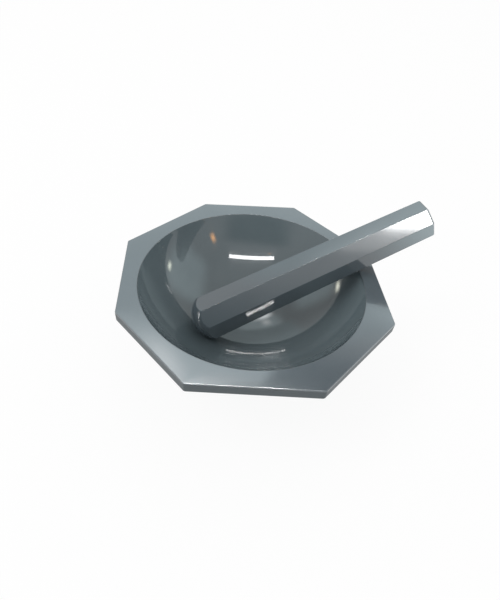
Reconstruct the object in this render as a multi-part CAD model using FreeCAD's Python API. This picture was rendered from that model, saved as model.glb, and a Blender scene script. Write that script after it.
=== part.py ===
"""A stone mortar and pestle of the laboratory kind, ground from two blocks of dark agate.

The mortar is an octagonal block: a flat rim, a low upright side under it, and eight faces that
draw in to a flat foot. Its bowl is part of a sphere. The pestle is a tapered eight-sided bar with a
rounded grinding end. It lies as it is left on the bench: its grinding end rests in the bowl, and
one of its flats lies on the bowl's edge.

Millimetres. The origin is the middle of the mortar's foot, on the surface it stands on, and +Z is
up. The pestle leans towards +X.
"""
import FreeCAD, Part
import math
import os

# Mortar: the bowl
bowl_across = 100.0         # over the bowl at the rim
bowl_depth = 34.0
bowl_edge_round = 0.3

# Mortar: the block round the bowl
rim_land = 7.75             # the rim's width where it is narrowest, at the middle of a flat
floor_thickness = 10.0      # under the bowl's lowest point
foot_across = 56.0          # over two opposite flats of the foot
side_height = 5.0           # the upright side under the rim
rim_chamfer = 0.45          # the bright line round the rim's outer edge
side_chamfer = 0.3          # the lower edge of the upright side
foot_chamfer = 1.0
rim_across = bowl_across + 2 * rim_land
mortar_height = bowl_depth + floor_thickness

# The flats are ground by hand. Each stands in or out of the true octagon by so many millimetres,
# and faces so many degrees away from its true direction. The first flat faces +X, and the others
# follow anticlockwise, seen from above.
flat_out = [-0.3, -0.9, 0.7, -0.1, -0.7, -0.6, -0.3, 0.9]
flat_turn = [2.5, -3.6, 1.5, 0.7, 3.6, -2.7, -1.7, 0.3]

# Pestle
pestle_end_across = 20.3    # over flats at the grinding end, where the facets stop
pestle_top_across = 16.5    # over flats at the upper end
pestle_bar_length = 108.0   # from the facets' lower corners to the upper end
pestle_dome_rise = 7.7      # how far the rounded end stands out from those corners
pestle_top_chamfer = 0.6

# How the pestle lies in the bowl
pestle_azimuth = 15.1       # degrees from +X, seen from above
dome_off_axis = 16.1        # the dome's centre, level, behind the bowl's axis
rest_clearance = 0.2        # between pestle and mortar at both places where it rests

sides = len(flat_out)
half_step = math.pi / sides
origin = FreeCAD.Vector(0, 0, 0)
up = FreeCAD.Vector(0, 0, 1)


def arc(first, middle, last):
    """Return the arc through three points."""
    return Part.Arc(first, middle, last).toShape()


def line(first, last):
    """Return the straight edge between two points."""
    return Part.LineSegment(first, last).toShape()


def turned(edges):
    """Return the solid that a closed upright profile sweeps when it turns about the Z axis."""
    return Part.Face(Part.Wire(edges)).revolve(origin, up, 360)


def octagon(across, outs, turns, inset):
    """Return the direction and the distance from the axis of each flat of an octagon."""
    flats = []
    for index in range(sides):
        direction = 2 * half_step * index + math.radians(turns[index])
        flats.append((direction, across / 2 + outs[index] - inset))
    return flats


def corner(first, second, height):
    """Return the point where two flats' lines cross."""
    (a, near), (b, far) = first, second
    spread = math.sin(b - a)
    x = (near * math.sin(b) - far * math.sin(a)) / spread
    y = (far * math.cos(a) - near * math.cos(b)) / spread
    return FreeCAD.Vector(x, y, height)


def outline(flats, height):
    """Return the corners of the level outline that the flats bound, in order."""
    corners = []
    for index in range(sides):
        corners.append(corner(flats[index], flats[(index + 1) % sides], height))
    return corners


def facet(corners):
    """Return the flat face with the given corners."""
    return Part.Face(Part.makePolygon(corners + corners[:1]))


def stacked(outlines):
    """Return the solid that fills the space between level outlines, the lowest one first."""
    faces = [facet(outlines[0]), facet(outlines[-1])]
    for lower, upper in zip(outlines, outlines[1:]):
        for index in range(sides):
            following = (index + 1) % sides
            faces.append(facet([lower[index], lower[following], upper[following], upper[index]]))
    return Part.Solid(Part.Shell(faces))


def mortar_outline(scale, inset, height):
    """Return the mortar's outline at a height: the rim's octagon, scaled and then drawn in."""
    outs = [out * scale for out in flat_out]
    return outline(octagon(rim_across * scale, outs, flat_turn, inset), height)


def mortar_block():
    """Return the octagonal block without its bowl."""
    foot_scale = foot_across / rim_across
    side_foot = mortar_height - side_height
    return stacked([
        mortar_outline(foot_scale, foot_chamfer, 0),
        mortar_outline(foot_scale, 0, foot_chamfer),
        mortar_outline(1, side_chamfer, side_foot),
        mortar_outline(1, 0, side_foot + side_chamfer),
        mortar_outline(1, 0, mortar_height - rim_chamfer),
        mortar_outline(1, rim_chamfer, mortar_height),
    ])


def bowl_radius():
    """Return the radius of the sphere that the bowl is part of."""
    half = bowl_across / 2
    return (half ** 2 + bowl_depth ** 2) / (2 * bowl_depth)


def bowl_centre_height():
    """Return the height of that sphere's centre above the surface the mortar stands on."""
    return mortar_height - bowl_depth + bowl_radius()


def bowl_cutter():
    """Return what is ground out of the block: the bowl, flaring out over its eased edge."""
    radius = bowl_radius()
    centre = up * bowl_centre_height()
    ease_height = mortar_height - bowl_edge_round
    reach = radius + bowl_edge_round
    ease_out = math.sqrt(reach ** 2 - (centre.z - ease_height) ** 2)
    ease_centre = FreeCAD.Vector(ease_out, 0, ease_height)
    inward = (centre - ease_centre).normalize()
    touch = ease_centre + inward * bowl_edge_round
    ease_middle = ease_centre + (inward + up).normalize() * bowl_edge_round
    crest = ease_centre + up * bowl_edge_round
    bottom = centre - up * radius
    bowl_middle = centre + (bottom + touch - centre * 2).normalize() * radius
    above = crest + up * bowl_depth
    axis_top = up * above.z
    return turned([
        arc(bottom, bowl_middle, touch),
        arc(touch, ease_middle, crest),
        line(crest, above),
        line(above, axis_top),
        line(axis_top, bottom),
    ])


def mortar():
    """Return the mortar: the block, with the bowl ground out of it."""
    return mortar_block().cut(bowl_cutter())


def end_corner_radius():
    """Return the distance from the pestle's axis to its corners at the grinding end."""
    return pestle_end_across / 2 / math.cos(half_step)


def dome_radius():
    """Return the radius of the dome that passes through the facets' lower corners."""
    return (end_corner_radius() ** 2 + pestle_dome_rise ** 2) / (2 * pestle_dome_rise)


def dome_centre_along():
    """Return how far up the bar, from the facets' lower corners, the dome's centre lies."""
    return dome_radius() - pestle_dome_rise


def taper():
    """Return how much the bar's width over flats falls for each millimetre of its length."""
    return (pestle_end_across - pestle_top_across) / pestle_bar_length


def pestle_section(along, inset):
    """Return the bar's outline at a distance up from the facets' lower corners."""
    across = pestle_end_across - taper() * along
    even = [0] * sides
    return outline(octagon(across, even, even, inset), along)


def dome_envelope():
    """Return a round-nosed bar that leaves the grinding end's dome where the facets meet it."""
    centre = dome_centre_along()
    radius = dome_radius()
    slant = radius / math.sqrt(2)
    apex = up * -pestle_dome_rise
    between = FreeCAD.Vector(slant, 0, centre - slant)
    shoulder = FreeCAD.Vector(radius, 0, centre)
    above = shoulder + up * pestle_bar_length
    axis_top = up * above.z
    return turned([
        arc(apex, between, shoulder),
        line(shoulder, above),
        line(above, axis_top),
        line(axis_top, apex),
    ])


def upright_pestle():
    """Return the pestle standing on its grinding end, its facets' lower corners at height 0."""
    bar = stacked([
        pestle_section(-pestle_dome_rise, 0),
        pestle_section(pestle_bar_length - pestle_top_chamfer, 0),
        pestle_section(pestle_bar_length, pestle_top_chamfer),
    ])
    return bar.common(dome_envelope())


def rest():
    """Return how the pestle lies: the dome centre's height and the bar's lean in degrees.

    The dome touches the bowl, and the bar's lowest flat passes the bowl's edge, both with the
    rest clearance. Seen from the side, that flat is the line through the edge that keeps its
    distance from the dome's centre.
    """
    reach = bowl_radius() - dome_radius() - rest_clearance
    height = bowl_centre_height() - math.sqrt(reach ** 2 - dome_off_axis ** 2)
    flat_slope = math.atan(taper() / 2)
    half_across = (pestle_end_across - taper() * dome_centre_along()) / 2
    below = half_across * math.cos(flat_slope) + rest_clearance
    run = bowl_across / 2 + dome_off_axis
    rise = mortar_height - height
    steepness = math.atan2(rise, run) + math.asin(below / math.hypot(run, rise))
    return height, math.degrees(steepness - flat_slope)


def pestle():
    """Return the pestle leaning in the bowl, one flat down on the bowl's edge."""
    height, lean = rest()
    shape = upright_pestle()
    shape.translate(up * -dome_centre_along())
    shape.rotate(origin, FreeCAD.Vector(0, 1, 0), 90 - lean)
    shape.translate(FreeCAD.Vector(-dome_off_axis, 0, height))
    shape.rotate(origin, up, pestle_azimuth)
    return shape


def span(solid):
    """Return the lowest and highest corners of a solid's box, to a hundredth."""
    box = solid.BoundBox
    lowest = [round(value, 2) for value in (box.XMin, box.YMin, box.ZMin)]
    highest = [round(value, 2) for value in (box.XMax, box.YMax, box.ZMax)]
    return lowest, highest


os.makedirs("parts", exist_ok=True)
for name, solid in (("mortar", mortar()), ("pestle", pestle())):
    solid.exportStep("parts/" + name + ".step")
    print(name, "valid" if solid.isValid() else "broken", round(solid.Volume), "mm3", span(solid))
print("the pestle leans %.2f degrees" % rest()[1])
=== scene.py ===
# %% [markdown]
# # A stone mortar and pestle
#
# Two pieces of dark polished agate: an octagonal mortar with a round bowl, and a tapered
# eight-sided pestle that leans in it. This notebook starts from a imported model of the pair,
# which gives every piece its true place and size in metres. Each piece is then modelled afresh
# with the finish that the plain solids lack, and takes the place of its solid.

# %% Load the frame
import math

import bpy
from mathutils import Matrix, Vector


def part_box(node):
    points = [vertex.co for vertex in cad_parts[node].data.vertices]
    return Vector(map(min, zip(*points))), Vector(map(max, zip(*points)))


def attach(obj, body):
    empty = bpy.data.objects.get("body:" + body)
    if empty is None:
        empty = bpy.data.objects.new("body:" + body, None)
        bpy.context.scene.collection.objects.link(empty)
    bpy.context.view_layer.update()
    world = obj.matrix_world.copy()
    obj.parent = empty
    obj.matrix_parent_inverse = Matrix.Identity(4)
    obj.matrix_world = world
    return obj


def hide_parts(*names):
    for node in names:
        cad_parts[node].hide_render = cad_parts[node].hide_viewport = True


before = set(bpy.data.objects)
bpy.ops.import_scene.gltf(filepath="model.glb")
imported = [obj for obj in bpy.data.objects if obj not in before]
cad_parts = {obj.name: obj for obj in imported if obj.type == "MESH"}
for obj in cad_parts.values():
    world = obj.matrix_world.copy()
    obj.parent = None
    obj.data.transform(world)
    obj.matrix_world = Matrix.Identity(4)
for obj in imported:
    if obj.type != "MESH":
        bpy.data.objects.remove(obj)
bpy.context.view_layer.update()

mm = 0.001

# %% [markdown]
# ## The camera
#
# The pair is seen from in front and above, at about 44 degrees, by a camera held a little
# askew. The camera is placed first, because the lamps and their reflections depend on where it
# stands. Its own three axes are worked out from where it stands and what it looks at, then
# turned by the roll.

# %% Place the camera
camera_at = Vector((-14.13, -146.18, 174.25)) * mm
camera_aim = Vector((-1.61, -13.72, 44.0)) * mm
camera_roll = math.radians(6.23)
camera_lens = 26.57     # millimetres, for a picture whose long side is 36 mm


def placed(place, x_axis, y_axis, z_axis):
    """Return the matrix that puts a thing at a place and lays its three axes along these."""
    turn = Matrix((x_axis, y_axis, z_axis)).transposed().to_4x4()
    return Matrix.Translation(place) @ turn


backward = (camera_at - camera_aim).normalized()
level_right = Vector((0, 0, 1)).cross(backward).normalized()
level_up = backward.cross(level_right)
rightward = math.cos(camera_roll) * level_right + math.sin(camera_roll) * level_up
upward = backward.cross(rightward)

camera = bpy.data.objects.new("camera", bpy.data.cameras.new("camera"))
bpy.context.scene.collection.objects.link(camera)
camera.data.lens = camera_lens
camera.data.clip_start = 0.01
camera.matrix_world = placed(camera_at, rightward, upward, backward)
bpy.context.scene.camera = camera
bpy.context.scene.view_settings.view_transform = "Standard"
print("the camera stands %.0f mm from what it looks at" % ((camera_at - camera_aim).length / mm))

# %% [markdown]
# ## Reading the flats from the frame
#
# The mortar's flats are ground by hand, and no two face quite the way a true octagon's would.
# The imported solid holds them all, so they are measured there instead of being written down a
# second time. A flat is found as a group of triangles that lie in one plane, and small groups,
# such as the bowl's own facets and the narrow bevels, are passed over.

# %% Measure a node's large flat faces
touching = 0.02 * mm            # nearer than this counts as the same place
small_triangle = 5 * mm * mm
large_flat = 60 * mm * mm
same_direction = 0.99999        # the cosine above which two normals agree


def flats_of(node):
    """Return the (centre, normal) of each large flat face of a node."""
    groups = []
    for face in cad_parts[node].data.polygons:
        if face.area < small_triangle:
            continue
        for group in groups:
            aligned = group[0].normal.dot(face.normal) > same_direction
            apart = abs(face.normal.dot(face.center - group[0].center))
            if aligned and apart < touching:
                group.append(face)
                break
        else:
            groups.append([face])
    flats = []
    for group in groups:
        area = sum(face.area for face in group)
        if area > large_flat:
            centre = sum((face.center * face.area for face in group), Vector()) / area
            flats.append((centre, group[0].normal.copy()))
    return flats


mortar_flats = flats_of("mortar")
pestle_flats = flats_of("pestle")
print("large flats: mortar", len(mortar_flats), "pestle", len(pestle_flats))

# %% [markdown]
# ## Working in edit mode
#
# Most steps below pick some of a piece's vertices, edges or faces by where they lie, and then
# run one operator on them. These helpers do the picking. They also leave the right piece active
# and the right mode on, which is what an operator goes by.

# %% Write small helpers for edit mode
def start_piece(name):
    """Name the object that an operator has just added, and open it with nothing selected."""
    piece = bpy.context.active_object
    piece.name = name
    piece.data.name = name
    bpy.ops.object.mode_set(mode="EDIT")
    bpy.ops.mesh.select_mode(type="VERT")
    bpy.ops.mesh.select_all(action="DESELECT")
    return piece


def pick(piece, kind, wanted):
    """Select only the vertices, edges or faces of an open piece for which wanted() is true."""
    bpy.ops.mesh.select_all(action="DESELECT")
    bpy.ops.mesh.select_mode(type={"vertices": "VERT", "edges": "EDGE", "polygons": "FACE"}[kind])
    bpy.ops.object.mode_set(mode="OBJECT")
    count = 0
    for element in getattr(piece.data, kind):
        element.select = bool(wanted(element))
        count += element.select
    bpy.ops.object.mode_set(mode="EDIT")
    return count


def edge_ends(piece, edge):
    """Return the places of an edge's two ends."""
    return [piece.data.vertices[index].co for index in edge.vertices]


def use_modifier(piece, kind, **settings):
    """Add a modifier with these settings to a piece and apply it."""
    modifier = piece.modifiers.new(kind.lower(), kind)
    for setting, value in settings.items():
        setattr(modifier, setting, value)
    bpy.context.view_layer.objects.active = piece
    bpy.ops.object.modifier_apply(modifier=modifier.name)


def use_alone(*pieces):
    """Leave edit mode and select these pieces alone, the first one active."""
    if bpy.context.mode != "OBJECT":
        bpy.ops.object.mode_set(mode="OBJECT")
    bpy.ops.object.select_all(action="DESELECT")
    for piece in pieces:
        piece.select_set(True)
    bpy.context.view_layer.objects.active = pieces[0]

# %% [markdown]
# ## The mortar's block
#
# The real block is sawn and then ground flat, side by side. It is made the same way here: a
# square blank is cut by one plane for each flat, and what lies outside is thrown away. Bisect
# with its two switches for filling and clearing does just that, and the result follows the
# measured flats exactly.

# %% Grind the block out of a blank
low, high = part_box("mortar")
rim_height = high.z
blank_size = 2 * (high.x - low.x)
block_merge = 0.01 * mm

bpy.ops.object.select_all(action="DESELECT")
bpy.ops.mesh.primitive_cube_add(size=blank_size, location=(0, 0, 0))
mortar = start_piece("agate_mortar")
for centre, normal in mortar_flats:
    bpy.ops.mesh.select_all(action="SELECT")
    bpy.ops.mesh.bisect(plane_co=centre, plane_no=normal, use_fill=True, clear_outer=True)
bpy.ops.mesh.select_all(action="SELECT")
bpy.ops.mesh.remove_doubles(threshold=block_merge)
use_alone(mortar)
print("the block has", len(mortar.data.polygons), "faces")

# %% [markdown]
# ## Easing the block's edges
#
# Ground stone has no true knife edge, because it would chip. The upright corners are rounded
# most, and the rim's outer edge gets a narrow bevel that catches the light as a bright line. The
# bevel operator rounds whatever edges are selected, so each kind of edge is picked by where it
# lies. The long rim edges are divided first, so that the rim's outline has as many points as
# the bowl will have.

# %% Round and bevel the block
bowl_steps = 192
flats_round = 8
corner_segments = 4
flat_steps = bowl_steps // flats_round - corner_segments
corner_round = 0.9 * mm
rim_bevel = 0.45 * mm
side_bevel = 0.3 * mm
foot_bevel = 0.5 * mm
long_edge = 10 * mm
level_face = 0.99       # the upright part of a level face's normal, at least


def lies_at(piece, edge, height):
    """Tell whether both ends of an edge lie at a height."""
    return all(abs(end.z - height) < touching for end in edge_ends(piece, edge))


def is_corner(piece, edge):
    """Tell whether an edge climbs from one level to another, and so parts two flats."""
    first, second = edge_ends(piece, edge)
    return abs(first.z - second.z) > touching


def is_long_rim_edge(piece, edge):
    """Tell whether an edge is a straight stretch of the rim's outline."""
    first, second = edge_ends(piece, edge)
    return lies_at(piece, edge, rim_height) and (first - second).length > long_edge


side_foot = sorted({round(vertex.co.z, 5) for vertex in mortar.data.vertices})[1]
bpy.ops.object.mode_set(mode="EDIT")
pick(mortar, "edges", lambda edge: is_corner(mortar, edge))
bpy.ops.mesh.bevel(offset=corner_round, offset_type="WIDTH", segments=corner_segments)
pick(mortar, "edges", lambda edge: is_long_rim_edge(mortar, edge))
bpy.ops.mesh.subdivide(number_cuts=flat_steps - 1)
eased_levels = ((rim_height, rim_bevel, 2), (side_foot, side_bevel, 2), (0, foot_bevel, 3))
for height, width, segments in eased_levels:
    pick(mortar, "edges", lambda edge: lies_at(mortar, edge, height))
    bpy.ops.mesh.bevel(offset=width, segments=segments)
just_under_rim = rim_height - touching
pick(mortar, "polygons", lambda face: face.center.z > just_under_rim and face.normal.z > level_face)
bpy.ops.mesh.delete(type="FACE")
use_alone(mortar)
heights = sorted({round(vertex.co.z / mm, 1) for vertex in mortar.data.vertices})
print("heights in the block, mm:", heights)

# %% [markdown]
# ## The bowl
#
# A round cutter sweeps the bowl out of the real block, and spin is that cutter. A single point
# at the bowl's lowest place is first swung about the sphere's centre, which draws the bowl's
# profile. A second, smaller swing draws the eased edge, which ends level with the rim. The whole
# profile is then spun once round the upright axis.
#
# The bowl has many more steps than its outline needs, because its polish mirrors the lamps,
# and a mirror shows every facet.

# %% Spin the bowl
bowl_across = 100 * mm
bowl_depth = 34 * mm
bowl_edge_round = 0.3 * mm
bowl_rings = 56
ease_rings = 4
merge_within = 0.001 * mm

bowl_radius = ((bowl_across / 2) ** 2 + bowl_depth ** 2) / (2 * bowl_depth)
bowl_centre = Vector((0, 0, rim_height - bowl_depth + bowl_radius))
ease_height = rim_height - bowl_edge_round
ease_out = math.sqrt((bowl_radius + bowl_edge_round) ** 2 - (bowl_centre.z - ease_height) ** 2)
swing = math.atan2(ease_out, bowl_centre.z - ease_height)


def start_point(name, place):
    """Add a piece that is a single point, open and selected."""
    bpy.ops.object.select_all(action="DESELECT")
    bpy.ops.mesh.primitive_circle_add(vertices=3, radius=mm)
    piece = start_piece(name)
    bpy.ops.mesh.select_all(action="SELECT")
    bpy.ops.mesh.merge(type="CENTER")
    bpy.ops.transform.translate(value=place)
    return piece


bowl = start_point("bowl", bowl_centre - Vector((0, 0, bowl_radius)))
bpy.ops.mesh.spin(steps=bowl_rings, angle=swing, center=bowl_centre, axis=(0, 1, 0))
ease_centre = (ease_out, 0, ease_height)
bpy.ops.mesh.spin(steps=ease_rings, angle=-swing, center=ease_centre, axis=(0, 1, 0))
bpy.ops.mesh.select_all(action="SELECT")
bpy.ops.mesh.spin(steps=bowl_steps, angle=math.tau, center=(0, 0, 0), axis=(0, 0, 1))
bpy.ops.mesh.select_all(action="SELECT")
bpy.ops.mesh.remove_doubles(threshold=merge_within)
use_alone(bowl)
print("the bowl's radius is %.2f mm, in %d faces" % (bowl_radius / mm, len(bowl.data.polygons)))

# %% [markdown]
# ## Joining bowl and block
#
# Block and bowl now have an open edge each, with the same number of points. Bridging them makes
# the flat rim, as a ring of four-sided faces. Two edges at one height can be bridged the wrong
# way round, since the operator tells their direction from how they lie to each other. So the bowl
# is held above the block while it is bridged, and then lowered into it. The result is one closed
# solid, and its normals can be turned outwards by themselves.

# %% Bridge the rim
held_above = 60 * mm
use_alone(bowl)
bpy.ops.transform.translate(value=(0, 0, held_above))
bpy.ops.object.transform_apply(location=True, rotation=True, scale=True)
use_alone(mortar, bowl)
bpy.ops.object.join()
bpy.ops.object.mode_set(mode="EDIT")
bpy.ops.mesh.select_all(action="DESELECT")
bpy.ops.mesh.select_mode(type="EDGE")
bpy.ops.mesh.select_non_manifold()
bpy.ops.mesh.bridge_edge_loops()
pick(mortar, "vertices", lambda vertex: vertex.co.z > rim_height + mm)
bpy.ops.transform.translate(value=(0, 0, -held_above))
bpy.ops.mesh.select_all(action="SELECT")
bpy.ops.mesh.normals_make_consistent(inside=False)
use_alone(mortar)


def open_edges(piece):
    """Count the edges of a piece that don't have exactly two faces."""
    uses = {}
    for face in piece.data.polygons:
        for key in face.edge_keys:
            uses[key] = uses.get(key, 0) + 1
    return sum(count != 2 for count in uses.values()) + len(piece.data.edges) - len(uses)


print("the mortar has", len(mortar.data.polygons), "faces and", open_edges(mortar), "open edges")

# %% [markdown]
# ## The pestle's bar
#
# The pestle is a tapered bar with eight flats, made upright here with its upper end at the
# origin and its grinding end down. A cylinder of eight sides is the start: one flat faces +X,
# and the lower end is then widened for the taper.
#
# Its edges are eased, since a hand holds them: the upper end's first, and the long corners
# after that. The other way round, the end's bevel would be wider than the rounding of the
# corners that it meets, and would fold over itself there.

# %% Model the bar
pestle_end_across = 20.3 * mm       # over flats, where the facets stop
pestle_top_across = 16.5 * mm
pestle_bar_length = 108.0 * mm
pestle_dome_rise = 7.7 * mm
pestle_corner_round = 0.15 * mm
pestle_top_bevel = 0.9 * mm
bar_segments = 3
flats_to_corners = 1 / math.cos(math.pi / flats_round)

taper = (pestle_end_across - pestle_top_across) / pestle_bar_length
blank_length = pestle_bar_length + pestle_dome_rise
blank_across = pestle_top_across + taper * blank_length

bpy.ops.object.select_all(action="DESELECT")
bpy.ops.mesh.primitive_cylinder_add(
    vertices=flats_round, radius=pestle_top_across / 2 * flats_to_corners, depth=blank_length,
    location=(0, 0, -blank_length / 2), rotation=(0, 0, math.pi / flats_round))
bpy.ops.object.transform_apply(location=True, rotation=True, scale=True)
pestle = start_piece("agate_pestle")
pick(pestle, "vertices", lambda vertex: vertex.co.z < -pestle_bar_length)
widen = blank_across / pestle_top_across
bpy.ops.transform.resize(value=(widen, widen, 1))
pick(pestle, "edges", lambda edge: lies_at(pestle, edge, 0))
bpy.ops.mesh.bevel(offset=pestle_top_bevel, segments=bar_segments)
pick(pestle, "edges", lambda edge: is_corner(pestle, edge))
bpy.ops.mesh.bevel(offset=pestle_corner_round, offset_type="WIDTH", segments=bar_segments)
use_alone(pestle)
print("the bar is %.1f mm over its flats at the top" % (pestle_top_across / mm))

# %% [markdown]
# ## The grinding end
#
# The real end is turned round until its dome runs out into the eight flats, which leaves each
# flat with a curved lower edge. That shape is what is common to the bar and to a round-nosed
# rod: the rod's profile is drawn and spun as the bowl's was, and a boolean modifier keeps what
# the two share.

# %% Round the grinding end
dome_steps = 160
dome_rings = 32
end_corner_radius = pestle_end_across / 2 * flats_to_corners
dome_radius = (end_corner_radius ** 2 + pestle_dome_rise ** 2) / (2 * pestle_dome_rise)
dome_centre = Vector((0, 0, -pestle_bar_length - pestle_dome_rise + dome_radius))

rod = start_point("round_nosed_rod", dome_centre - Vector((0, 0, dome_radius)))
bpy.ops.mesh.spin(steps=dome_rings, angle=math.pi / 2, center=dome_centre, axis=(0, 1, 0))
bpy.ops.mesh.extrude_region_move(TRANSFORM_OT_translate={"value": (0, 0, blank_length)})
bpy.ops.mesh.extrude_region_move(TRANSFORM_OT_translate={"value": (-dome_radius, 0, 0)})
bpy.ops.mesh.select_all(action="SELECT")
bpy.ops.mesh.spin(steps=dome_steps, angle=math.tau, center=(0, 0, 0), axis=(0, 0, 1))
bpy.ops.mesh.select_all(action="SELECT")
bpy.ops.mesh.remove_doubles(threshold=merge_within)
bpy.ops.mesh.normals_make_consistent(inside=False)
use_alone(rod)
print("the rod has", open_edges(rod), "open edges")
use_modifier(pestle, "BOOLEAN", operation="INTERSECT", solver="EXACT", object=rod)
bpy.data.objects.remove(rod)
use_alone(pestle)
print("the pestle has", len(pestle.data.polygons), "faces and", open_edges(pestle), "open edges")

# %% [markdown]
# ## Laying the pestle in the bowl
#
# Where the pestle lies is read from its solid: the upper end's centre, the way that end faces,
# and the long flat that faces most nearly down. Those three fix its place and its turn. The
# place is then applied, so that it is in the mesh and the object stays at the origin.

# %% Lay the pestle down
overhead = Vector((0, 0, 1))    # the pestle's upper end is the flat nearest to this point
top_centre, pestle_axis = min(pestle_flats, key=lambda flat: (flat[0] - overhead).length)
down_flat = min(pestle_flats, key=lambda flat: flat[1].z)
sideways = pestle_axis.cross(down_flat[1]).normalized()
downwards = sideways.cross(pestle_axis)
pestle.matrix_world = placed(top_centre, downwards, sideways, pestle_axis)
use_alone(pestle)
bpy.ops.object.transform_apply(location=True, rotation=True, scale=True)
lean = math.degrees(math.asin(pestle_axis.z))
top_place = [round(value / mm, 1) for value in top_centre]
print("the pestle leans %.2f degrees, upper end at" % lean, top_place)

# %% [markdown]
# ## Smooth faces, flat flats
#
# Bowl, dome and bevels are smooth and the flats are flat. Shading by angle keeps an edge sharp
# where two faces meet steeply. The weighted normals then lean towards the larger face, so a wide
# flat stays flat right up to its bevel.

# %% Shade both pieces
smooth_below = math.radians(40)

for piece in (mortar, pestle):
    use_alone(piece)
    bpy.ops.object.shade_smooth_by_angle(angle=smooth_below)
    use_modifier(piece, "WEIGHTED_NORMAL", mode="FACE_AREA", weight=50, keep_sharp=True)
    print(piece.name, len(piece.data.polygons), "faces")

# %% [markdown]
# ## Stone that varies
#
# Polished agate is nearly one colour, but not quite: it has soft clouds, and a ground surface
# shows the fine marks of the wheel. Both pieces need that, so each effect is made once, as a
# node group. One gives out a colour that drifts between two tones. The other gives out a mask
# of fine marks, which a finish uses for its own roughness and bump.

# %% Make the shared node groups
def add_node(tree, kind, **settings):
    """Add a node of a kind to a node tree, with these settings and input values."""
    node = tree.nodes.new(kind)
    for name, value in settings.items():
        if name in node.inputs:
            node.inputs[name].default_value = value
        else:
            setattr(node, name, value)
    return node


def new_group(name, inputs, outputs):
    """Make an empty shader node group and return it with its input and output nodes."""
    group = bpy.data.node_groups.new(name, "ShaderNodeTree")
    for socket, kind, value in inputs:
        made = group.interface.new_socket(socket, in_out="INPUT", socket_type=kind)
        made.default_value = value
    for socket, kind in outputs:
        group.interface.new_socket(socket, in_out="OUTPUT", socket_type=kind)
    return group, group.nodes.new("NodeGroupInput"), group.nodes.new("NodeGroupOutput")


cloud_scale = 30.0
cloud_range = (0.3, 0.7)        # the noise levels at which the two tones are reached


def agate_clouds():
    """Make the group that clouds the stone's colour between two tones."""
    group, given, result = new_group("agate clouds", [
        ("Dark", "NodeSocketColor", (0.08, 0.09, 0.10, 1)),
        ("Pale", "NodeSocketColor", (0.12, 0.13, 0.14, 1)),
    ], [("Color", "NodeSocketColor")])
    link = group.links.new
    place = add_node(group, "ShaderNodeTexCoord")
    cloud = add_node(group, "ShaderNodeTexNoise", Scale=cloud_scale, Detail=4.0, Roughness=0.55,
                     Distortion=0.6)
    blend = add_node(group, "ShaderNodeMix", data_type="RGBA")
    ramp = add_node(group, "ShaderNodeMapRange")
    ramp.inputs["From Min"].default_value = cloud_range[0]
    ramp.inputs["From Max"].default_value = cloud_range[1]
    link(place.outputs["Object"], cloud.inputs["Vector"])
    link(cloud.outputs["Fac"], ramp.inputs["Value"])
    link(ramp.outputs["Result"], blend.inputs["Factor"])
    link(given.outputs["Dark"], blend.inputs["A"])
    link(given.outputs["Pale"], blend.inputs["B"])
    link(blend.outputs["Result"], result.inputs["Color"])
    return group


def grinding_marks():
    """Make the group whose mask is the fine marks of the grinding wheel."""
    group, given, result = new_group("grinding marks", [
        ("Mark Scale", "NodeSocketFloat", 900.0),
    ], [("Marks", "NodeSocketFloat")])
    link = group.links.new
    place = add_node(group, "ShaderNodeTexCoord")
    marks = add_node(group, "ShaderNodeTexNoise", Detail=3.0, Roughness=0.6)
    link(place.outputs["Object"], marks.inputs["Vector"])
    link(given.outputs["Mark Scale"], marks.inputs["Scale"])
    link(marks.outputs["Fac"], result.inputs["Marks"])
    return group


clouds_group = agate_clouds()
marks_group = grinding_marks()
print("node groups:", clouds_group.name, "and", marks_group.name)

# %% [markdown]
# ## Four finishes of one stone
#
# The rim, the side, the bowl and the bar are one stone, ground and polished to different
# degrees. The side's two tones are painted darker than the rim's, which is painted shade. One
# function makes all four finishes. The fine marks change a finish's roughness from place to
# place, and give all but the bowl a slight bump. The sheen is a thin clear coat, which stands for
# the polisher's last pass, and the side has none.

# %% Make the four finishes
agate_ior = 1.54
coat_roughness = 0.07
marks_depth = 0.05 * mm
bowl_crispness = 0.85           # the share of the bowl's mirror image that is crisp


def stone_finish(name, dark, pale, roughness, mark_scale, marks_bump, sheen):
    """Make a stone from two tones, a range of roughness, its marks and its sheen."""
    material = bpy.data.materials.new(name)
    material.use_nodes = True
    tree = material.node_tree
    link = tree.links.new
    stone = tree.nodes["Principled BSDF"]
    stone.inputs["IOR"].default_value = agate_ior
    stone.inputs["Coat Weight"].default_value = sheen
    stone.inputs["Coat Roughness"].default_value = coat_roughness
    stone.inputs["Coat IOR"].default_value = agate_ior
    clouds = add_node(tree, "ShaderNodeGroup", node_tree=clouds_group)
    clouds.inputs["Dark"].default_value = dark + (1,)
    clouds.inputs["Pale"].default_value = pale + (1,)
    marks = add_node(tree, "ShaderNodeGroup", node_tree=marks_group)
    marks.inputs["Mark Scale"].default_value = mark_scale
    rough = add_node(tree, "ShaderNodeMapRange")
    rough.inputs["To Min"].default_value = roughness[0]
    rough.inputs["To Max"].default_value = roughness[1]
    link(clouds.outputs["Color"], stone.inputs["Base Color"])
    link(marks.outputs["Marks"], rough.inputs["Value"])
    link(rough.outputs["Result"], stone.inputs["Roughness"])
    if marks_bump > 0:
        bump = add_node(tree, "ShaderNodeBump", Strength=marks_bump, Distance=marks_depth)
        link(marks.outputs["Marks"], bump.inputs["Height"])
        link(bump.outputs["Normal"], stone.inputs["Normal"])
    return material


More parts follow.
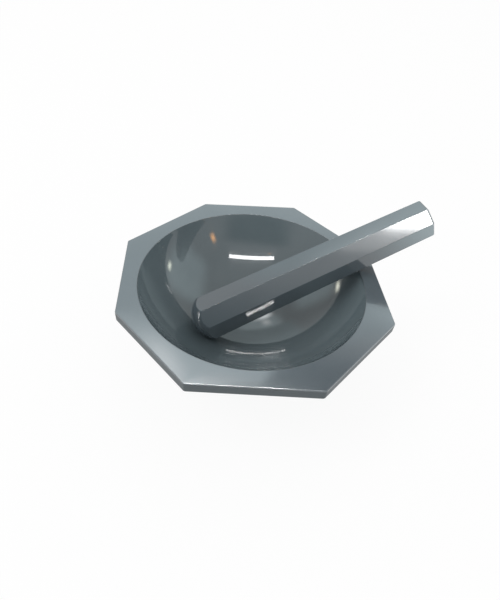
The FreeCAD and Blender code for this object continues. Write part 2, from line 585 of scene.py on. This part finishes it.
rim_stone = stone_finish("ground agate rim", (0.078, 0.100, 0.115), (0.091, 0.115, 0.132),
                         (0.18, 0.24), mark_scale=700.0, marks_bump=0.05, sheen=1.0)
# The side is ground and matt, and its tones are painted shade, darker than the rim's stone.
shaded_side_stone = stone_finish("ground agate side with painted shade", (0.044, 0.060, 0.068), (0.052, 0.070, 0.078),
                          (0.40, 0.50), mark_scale=700.0, marks_bump=0.05, sheen=0.0)
bowl_polish = stone_finish("polished agate bowl", (0.086, 0.112, 0.123), (0.099, 0.127, 0.138),
                           (0.10, 0.14), mark_scale=300.0, marks_bump=0.0, sheen=bowl_crispness)
bar_polish = stone_finish("polished agate bar", (0.063, 0.082, 0.095), (0.073, 0.094, 0.107),
                          (0.10, 0.15), mark_scale=500.0, marks_bump=0.02, sheen=0.8)
print("finishes:", rim_stone.name, shaded_side_stone.name, bowl_polish.name, bar_polish.name)

# %% [markdown]
# ## The bowl's polish
#
# The bowl shows a lamp as a crisp image that lies in a softer smear, the trace of a polisher
# that turned about the upright axis. The crisp part is the coat, which is almost smooth here.
# The smear is the layer under it: its roughness is drawn out one way, by the tangent that runs
# round the axis, and it mirrors only the share that the coat leaves.
#
# The bowl's colour is also painted a little paler towards the rim: painted light on its upper walls.

# %% Polish the bowl
crisp_roughness = 0.02
full_mirroring = 0.5            # the level at which the stone mirrors as its IOR says
full_smear = 1.0
quarter_turn = 0.25             # turns the smear from along the tangent to across it
# painted light: how many times paler the bowl's colour is painted at the rim than at the bottom
rim_painted_light_gain = 1.3
bowl_bottom = rim_height - bowl_depth


def paler_with_height(material, low, high, gain):
    """Multiply a material's colour by a factor that grows from 1 to a gain between two heights."""
    tree = material.node_tree
    colour = tree.nodes["Principled BSDF"].inputs["Base Color"]
    place = add_node(tree, "ShaderNodeTexCoord")
    split = add_node(tree, "ShaderNodeSeparateXYZ")
    climb = add_node(tree, "ShaderNodeMapRange")
    climb.inputs["From Min"].default_value = low
    climb.inputs["From Max"].default_value = high
    climb.inputs["To Min"].default_value = 1.0
    climb.inputs["To Max"].default_value = gain
    scale = add_node(tree, "ShaderNodeVectorMath", operation="SCALE")
    tree.links.new(colour.links[0].from_socket, scale.inputs[0])
    tree.links.new(place.outputs["Object"], split.inputs["Vector"])
    tree.links.new(split.outputs["Z"], climb.inputs["Value"])
    tree.links.new(climb.outputs["Result"], scale.inputs["Scale"])
    tree.links.new(scale.outputs["Vector"], colour)


def polished_round(material, crispness):
    """Lay a material's crisp coat over a smear that runs level round the upright axis."""
    tree = material.node_tree
    stone = tree.nodes["Principled BSDF"]
    around = add_node(tree, "ShaderNodeTangent", direction_type="RADIAL", axis="Z")
    stone.inputs["Anisotropic"].default_value = full_smear
    stone.inputs["Anisotropic Rotation"].default_value = quarter_turn
    stone.inputs["Specular IOR Level"].default_value = full_mirroring * (1 - crispness)
    stone.inputs["Coat Roughness"].default_value = crisp_roughness
    tree.links.new(around.outputs["Tangent"], stone.inputs["Tangent"])


# Paint light onto the bowl's upper walls, as a colour that grows paler towards the rim.
paler_with_height(bowl_polish, bowl_bottom, rim_height, rim_painted_light_gain)
polished_round(bowl_polish, bowl_crispness)
print("the bowl's polish is", bowl_crispness, "crisp, and", rim_painted_light_gain, "times as pale at the rim")

# %% [markdown]
# ## Which face has which finish
#
# The mortar's faces are sorted by where they lie and which way they face. Those on the bowl's
# sphere are polished. The eased edge round the bowl has the side's duller finish and its painted
# shade, because so narrow a mirror would draw a bright line round the bowl. What faces upwards
# is rim, its outer bevel with it, and the rest is side.

# %% Give each face its finish
in_bowl = bowl_radius + 0.01 * mm
edge_reach = bowl_across / 2 + mm
under_rim = rim_height - 0.001 * mm
least_upward = 0.1              # the upright part of a rim face's normal, at least


def mortar_finish(face):
    """Return which of the mortar's finishes a face has: 0 rim, 1 side and eased edge, 2 bowl."""
    if (face.center - bowl_centre).length < in_bowl:
        return 2
    eased = face.center.xy.length < edge_reach and face.center.z < under_rim
    return 1 if eased or face.normal.z < least_upward else 0


for finish in (rim_stone, shaded_side_stone, bowl_polish):
    mortar.data.materials.append(finish)
for face in mortar.data.polygons:
    face.material_index = mortar_finish(face)
pestle.data.materials.append(bar_polish)
print("polished bowl faces:", sum(face.material_index == 2 for face in mortar.data.polygons))

# %% [markdown]
# ## Taking the solids' places
#
# Each modelled piece now stands for its solid: it moves with the same body, and the solid is hidden.

# %% Ride and replace
for piece, node, finish in ((mortar, "mortar", "mortar_stone"), (pestle, "pestle", "pestle_stone")):
    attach(piece, node)
    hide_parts(node)
    print(piece.name, "stands for", node)

# %% [markdown]
# ## Floor and surroundings
#
# The pair stands on a plain white floor in white surroundings. The floor looks white to the
# camera and in reflections through the light path's ray switches, and still darkens a little
# under the pair, where less light falls. The surroundings use the same switches: they look
# white, and light the pair a little less than that.

# %% Lay the floor and light the surroundings
floor_half = 1.5
floor_light = 0.92      # how much of the floor's look is its own white
floor_white = (0.9, 0.9, 0.9, 1)
plain_light = 0.82      # the surroundings' share of the light that falls on the pair


def seen_mask(tree):
    """Add a mask to a node tree: 1 for rays of the camera and of mirrors, 0 for other light."""
    path = add_node(tree, "ShaderNodeLightPath")
    mirrored = add_node(tree, "ShaderNodeMath", operation="MAXIMUM")
    seen = add_node(tree, "ShaderNodeMath", operation="MAXIMUM")
    tree.links.new(path.outputs["Is Glossy Ray"], mirrored.inputs[0])
    tree.links.new(path.outputs["Is Transmission Ray"], mirrored.inputs[1])
    tree.links.new(path.outputs["Is Camera Ray"], seen.inputs[0])
    tree.links.new(mirrored.outputs[0], seen.inputs[1])
    return seen.outputs[0]


bpy.ops.object.select_all(action="DESELECT")
bpy.ops.mesh.primitive_grid_add(x_subdivisions=8, y_subdivisions=8, size=2 * floor_half)
floor = bpy.context.active_object
floor.name = "floor"
floor_paint = bpy.data.materials.new("white floor")
floor_paint.use_nodes = True
tree = floor_paint.node_tree
share = add_node(tree, "ShaderNodeMath", operation="MULTIPLY")
share.inputs[1].default_value = floor_light
glow = add_node(tree, "ShaderNodeEmission", Strength=1.0)
mix = add_node(tree, "ShaderNodeMixShader")
matt = tree.nodes["Principled BSDF"]
matt.inputs["Base Color"].default_value = floor_white
matt.inputs["Roughness"].default_value = 1.0
matt.inputs["Specular IOR Level"].default_value = 0.0
tree.links.new(seen_mask(tree), share.inputs[0])
tree.links.new(share.outputs[0], mix.inputs["Fac"])
tree.links.new(matt.outputs[0], mix.inputs[1])
tree.links.new(glow.outputs[0], mix.inputs[2])
tree.links.new(mix.outputs[0], tree.nodes["Material Output"].inputs["Surface"])
floor.data.materials.append(floor_paint)

world = bpy.data.worlds.new("white surroundings")
bpy.context.scene.world = world
world.use_nodes = True
tree = world.node_tree
level = add_node(tree, "ShaderNodeMapRange")
level.inputs["To Min"].default_value = plain_light
level.inputs["To Max"].default_value = 1.0
tree.links.new(seen_mask(tree), level.inputs["Value"])
tree.links.new(level.outputs["Result"], tree.nodes["Background"].inputs["Strength"])
tree.nodes["Background"].inputs["Color"].default_value = (1, 1, 1, 1)
print("floor", 2 * floor_half, "m across, surroundings at", plain_light)

# %% [markdown]
# ## Lamps
#
# Dark polished stone shows mostly what it mirrors, so the lamps are placed for their
# reflections. A tube hangs in front, and gives the bright streak on the bowl's far wall. A small
# warm lamp gives the faint fleck beside it. A row of narrow strips hangs behind. It gives the
# streaks on the bowl's near wall, the one on the pestle's lowest flat and the bright line along
# the rim's front edge. All these are mirrored and light nothing plainly. The two fills do the
# reverse.
#
# The two end lights are for the pestle's upper end. The bowl would mirror them too, beside the
# tube, so light linking keeps them to the pestle.

# %% Hang the lamps
rim_middle = Vector((0, 0, rim_height))
warm_light = (1.0, 0.55, 0.25)
strip_lamps = 24
strip_first = -0.31             # how far along X the row begins
strip_run = 0.48
strip_size = (0.006, 0.05)
strip_radiance = 460.0


def hang_lamp(name, place, size, radiance, color=(1, 1, 1), mirrored=True):
    """Hang a flat lamp that faces the rim. It is either mirrored, or it lights plainly."""
    data = bpy.data.lights.new(name, "AREA")
    data.shape = "RECTANGLE"
    data.size = size[0]
    data.size_y = size[1]
    data.energy = radiance * math.pi * size[0] * size[1]
    data.color = color
    lamp = bpy.data.objects.new(name, data)
    bpy.context.scene.collection.objects.link(lamp)
    facing = (Vector(place) - rim_middle).normalized()
    across = Vector((1, 0, 0))
    across = (across - facing * across.dot(facing)).normalized()
    lamp.matrix_world = placed(place, across, facing.cross(across), facing)
    lamp.visible_camera = False
    lamp.visible_diffuse = not mirrored
    lamp.visible_glossy = mirrored
    return lamp


hang_lamp("back_fill", (0.05, 0.75, 1.10), (0.5, 0.5), 1.0, mirrored=False)
hang_lamp("left_fill", (-0.75, -0.15, 1.0), (0.5, 0.5), 4.5, mirrored=False)
hang_lamp("front_tube", (0.01, -0.70, 0.99), (0.98, 0.075), 28.0)
for step in range(strip_lamps):
    along = strip_first + strip_run * step / (strip_lamps - 1)
    hang_lamp("strip_lamp", (along, 0.24, 1.0), strip_size, strip_radiance)
hang_lamp("warm_dot", (-0.365, -0.749, 0.907), (0.03, 0.018), 16.0, warm_light)
end_lights = (hang_lamp("end_light", (0.405, -0.746, 0.933), (0.22, 0.05), 22.0),
              hang_lamp("end_glow", (0.31, -0.746, 0.933), (0.28, 0.20), 1.8))
lit_pieces = bpy.data.collections.new("lit by the end lights")
lit_pieces.objects.link(pestle)
for lamp in end_lights:
    lamp.light_linking.receiver_collection = lit_pieces

# %% [markdown]
# ## Cards for the reflections
#
# A photographer of polished stone stands pale and dark cards round it, out of the picture. The
# stone mirrors them, which shapes it. These cards are seen by mirrored rays alone, so they add
# no light and cast no shadow.
#
# Each card fades out towards its edges, by its own share of its width and height, so that its
# image in the stone has no hard outline. Its tint is that of daylight, of a window or of a warm
# lamp.

# %% Make the group that fades a card's edges
def soft_edges():
    """Make the group whose mask is 1 in the middle of a unit card and fades to 0 at its edges."""
    group, given, result = new_group("soft edges", [
        ("Fade", "NodeSocketVector", (0.2, 0.2, 0.0)),
    ], [("Mask", "NodeSocketFloat")])
    link = group.links.new
    place = add_node(group, "ShaderNodeTexCoord")
    split = add_node(group, "ShaderNodeSeparateXYZ")
    widths = add_node(group, "ShaderNodeSeparateXYZ")
    product = add_node(group, "ShaderNodeMath", operation="MULTIPLY")
    link(place.outputs["Object"], split.inputs["Vector"])
    link(given.outputs["Fade"], widths.inputs["Vector"])
    for index, axis in enumerate("XY"):
        distance = add_node(group, "ShaderNodeMath", operation="ABSOLUTE")
        inward = add_node(group, "ShaderNodeMath", operation="SUBTRACT")
        inward.inputs[0].default_value = 0.5
        fade = add_node(group, "ShaderNodeMapRange", interpolation_type="SMOOTHSTEP")
        link(split.outputs[axis], distance.inputs[0])
        link(distance.outputs[0], inward.inputs[1])
        link(inward.outputs[0], fade.inputs["Value"])
        link(widths.outputs[axis], fade.inputs["From Max"])
        link(fade.outputs["Result"], product.inputs[index])
    link(product.outputs[0], result.inputs["Mask"])
    return group


edges_group = soft_edges()
print("node group:", edges_group.name)

# %% Stand the cards round the pair
daylight = (0.84, 0.97, 1.0, 1)
window_light = (0.95, 0.99, 1.0, 1)
yellow_light = (1.0, 1.0, 0.85, 1)
greenish_light = (0.95, 1.0, 0.85, 1)
orange_light = (1.0, 0.50, 0.18, 1)


def stand_card(name, azimuth, elevation, distance, size, glow, fade, tint, seen_from=rim_middle):
    """Stand a card in a direction from a point, facing it, with this glow and faded edges."""
    bpy.ops.mesh.primitive_plane_add(size=1)
    card = bpy.context.active_object
    card.name = name
    azimuth, elevation = math.radians(azimuth), math.radians(elevation)
    level = math.cos(elevation)
    facing = Vector((level * math.cos(azimuth), level * math.sin(azimuth), math.sin(elevation)))
    across = Vector((-math.sin(azimuth), math.cos(azimuth), 0))
    place = seen_from + facing * distance
    standing = placed(place, across, facing.cross(across), facing)
    card.matrix_world = standing @ Matrix.Diagonal((size[0], size[1], 1, 1))
    paint = bpy.data.materials.new(name)
    paint.use_nodes = True
    tree = paint.node_tree
    tree.nodes.remove(tree.nodes["Principled BSDF"])
    clear = add_node(tree, "ShaderNodeBsdfTransparent")
    shine = add_node(tree, "ShaderNodeEmission", Strength=glow)
    shine.inputs["Color"].default_value = tint
    mask = add_node(tree, "ShaderNodeGroup", node_tree=edges_group)
    mask.inputs["Fade"].default_value = fade + (0,)
    mix = add_node(tree, "ShaderNodeMixShader")
    tree.links.new(mask.outputs["Mask"], mix.inputs["Fac"])
    tree.links.new(clear.outputs[0], mix.inputs[1])
    tree.links.new(shine.outputs[0], mix.inputs[2])
    tree.links.new(mix.outputs[0], tree.nodes["Material Output"].inputs["Surface"])
    card.data.materials.append(paint)
    card.visible_camera = False
    card.visible_diffuse = False
    card.visible_shadow = False


# Each card's name, azimuth, elevation, distance, size, glow, fade and tint.
cards = (
    ("pale_back", 88, 38, 1.5, (1.9, 0.75), 1.3, (0.15, 0.15), daylight),
    ("pale_right_back", 55, 39, 1.4, (0.40, 0.30), 2.0, (0.3, 0.3), daylight),
    ("back_window", 97, 54, 1.4, (1.05, 0.44), 2.4, (0.25, 0.3), daylight),
    ("window_core", 107, 54.5, 1.3, (0.24, 0.30), 5.0, (0.5, 0.5), window_light),
    ("window_top", 91, 59, 1.4, (0.32, 0.17), 3.0, (0.5, 0.5), window_light),
    ("high_window", 109, 61.5, 1.3, (0.46, 0.22), 10.0, (0.5, 0.5), window_light),
    ("dark_back", 64.5, 55, 1.2, (0.34, 0.40), 0.0, (0.12, 0.4), daylight),
    ("left_window", 152, 11, 1.2, (0.27, 0.13), 12.0, (0.5, 0.5), yellow_light),
    ("right_window", 15, 11.5, 1.2, (0.22, 0.12), 12.0, (0.5, 0.5), greenish_light),
    ("warm_spot", -43.1, 25.6, 0.94, (0.12, 0.22), 12.0, (0.5, 0.5), orange_light),
    ("dim_front", -95, 24, 1.5, (2.6, 1.1), 0.3, (0.3, 0.3), daylight),
    ("pale_left", 172, 32, 1.2, (1.3, 1.1), 2.2, (0.3, 0.3), daylight),
    ("pale_right", 8, 28, 1.2, (1.3, 1.1), 2.2, (0.3, 0.3), daylight),
)
for card in cards:
    stand_card(*card)
under_pestle = Vector((0.22, -0.05, 0.06))
stand_card("pale_floor", 0, -90, 0.058, (0.20, 0.25), 2.7, (0.4, 0.4), daylight, under_pestle)
print("cards:", [card[0] for card in cards] + ["pale_floor"])
